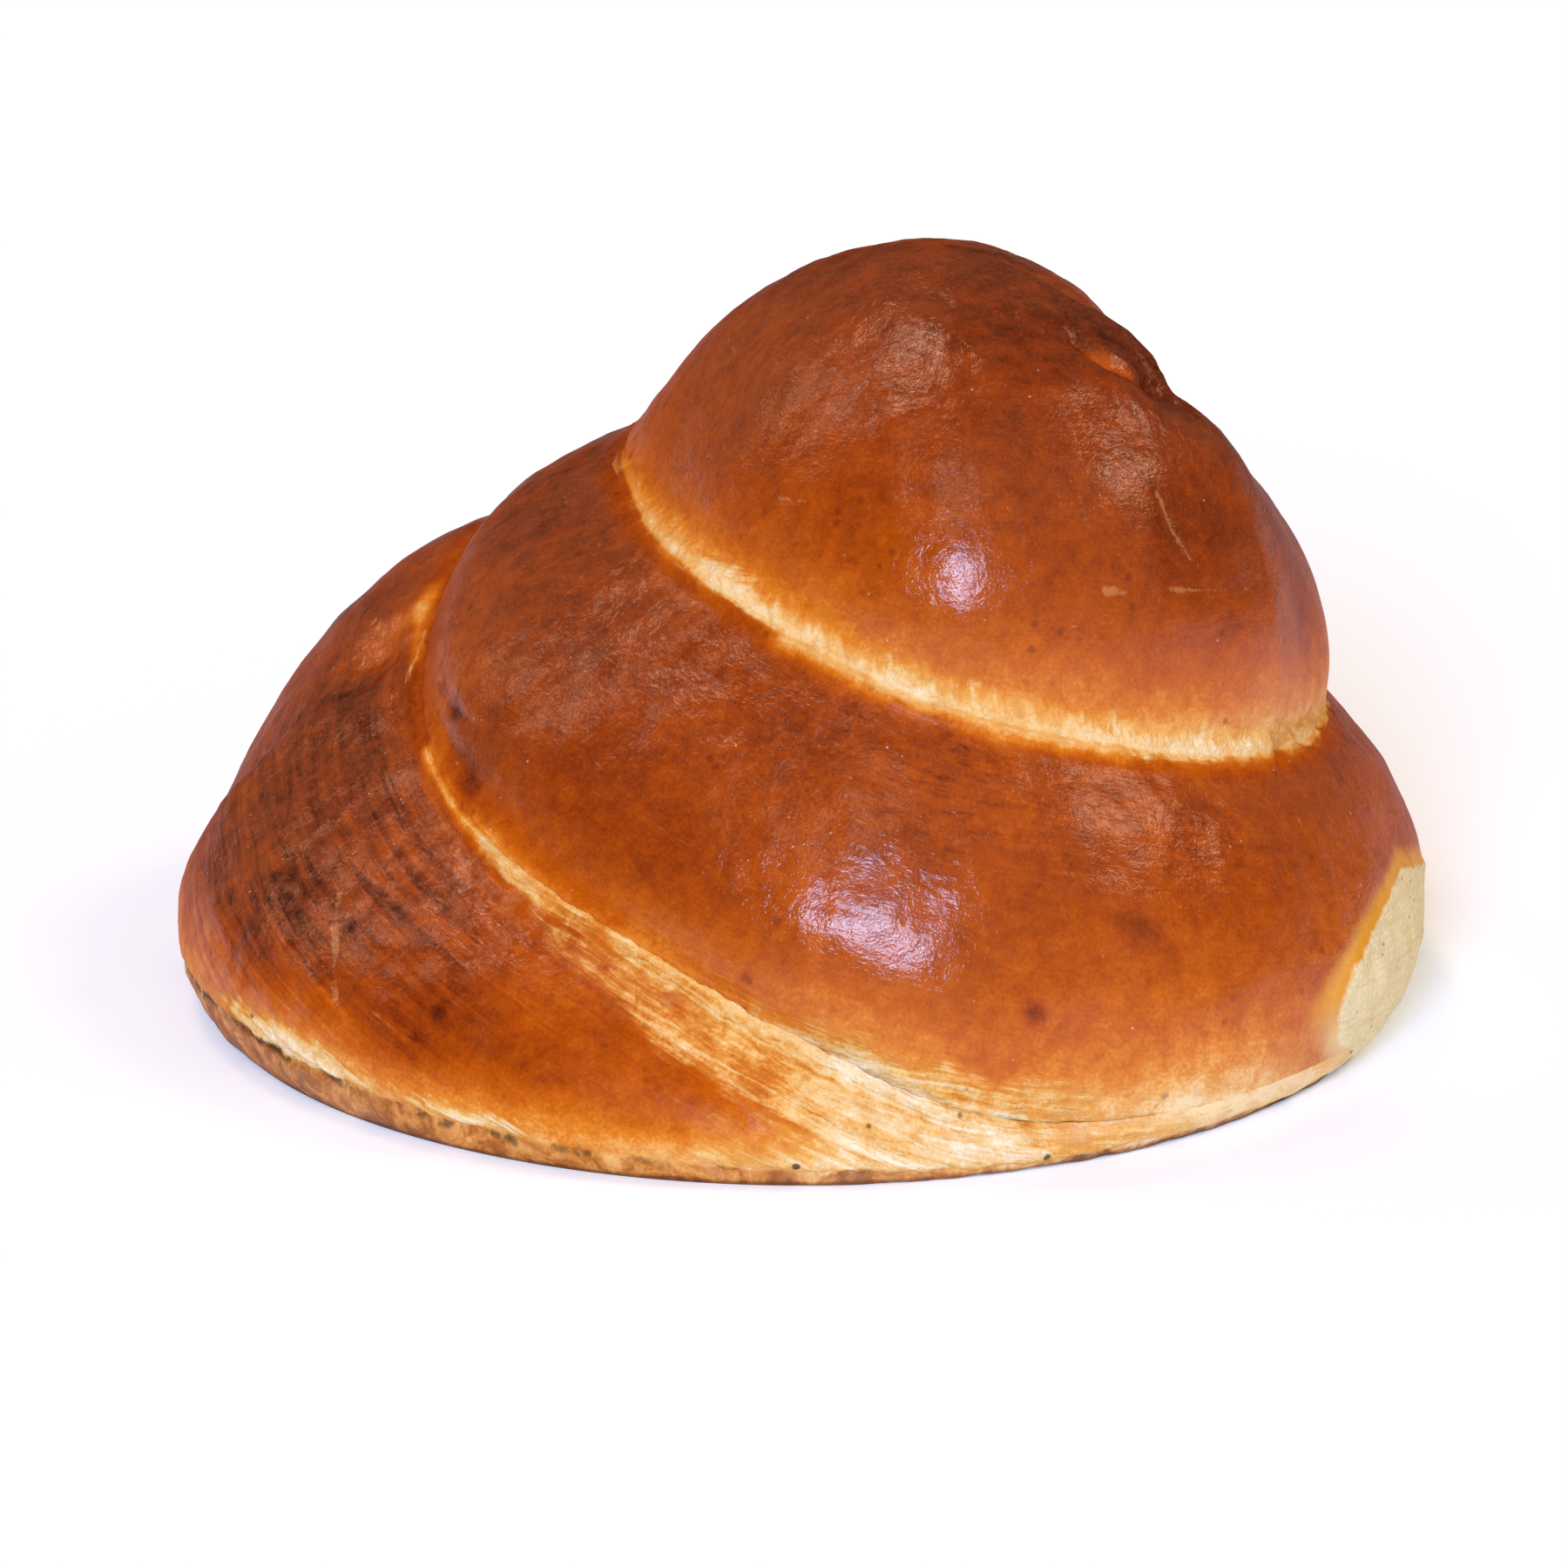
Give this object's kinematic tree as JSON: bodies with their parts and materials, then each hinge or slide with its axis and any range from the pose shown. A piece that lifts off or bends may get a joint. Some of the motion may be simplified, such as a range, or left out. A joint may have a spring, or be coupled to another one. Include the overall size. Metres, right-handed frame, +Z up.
{
  "type": "coiled turban loaf",
  "caption": "Round egg-bread loaf: a thick rope of dough coiled up into a leaning turban, glossy brown crust, pale stretched creases, flat base to stand on.",
  "frame": {"origin": "under the middle of the loaf's bounding box, on the flat base", "axes": "+Z up; +X is the side to which the coil's peak leans, and -Y is the side with the clearest view of the coil"},
  "size_m": [0.2004, 0.1952, 0.121],
  "materials": {
    "crust": "egg-washed bread crust, glossy chestnut brown on top, golden to cream along the creases and the base"
  },
  "bodies": {
    "root": {"loaf": "crust"}
  },
  "joints": []
}
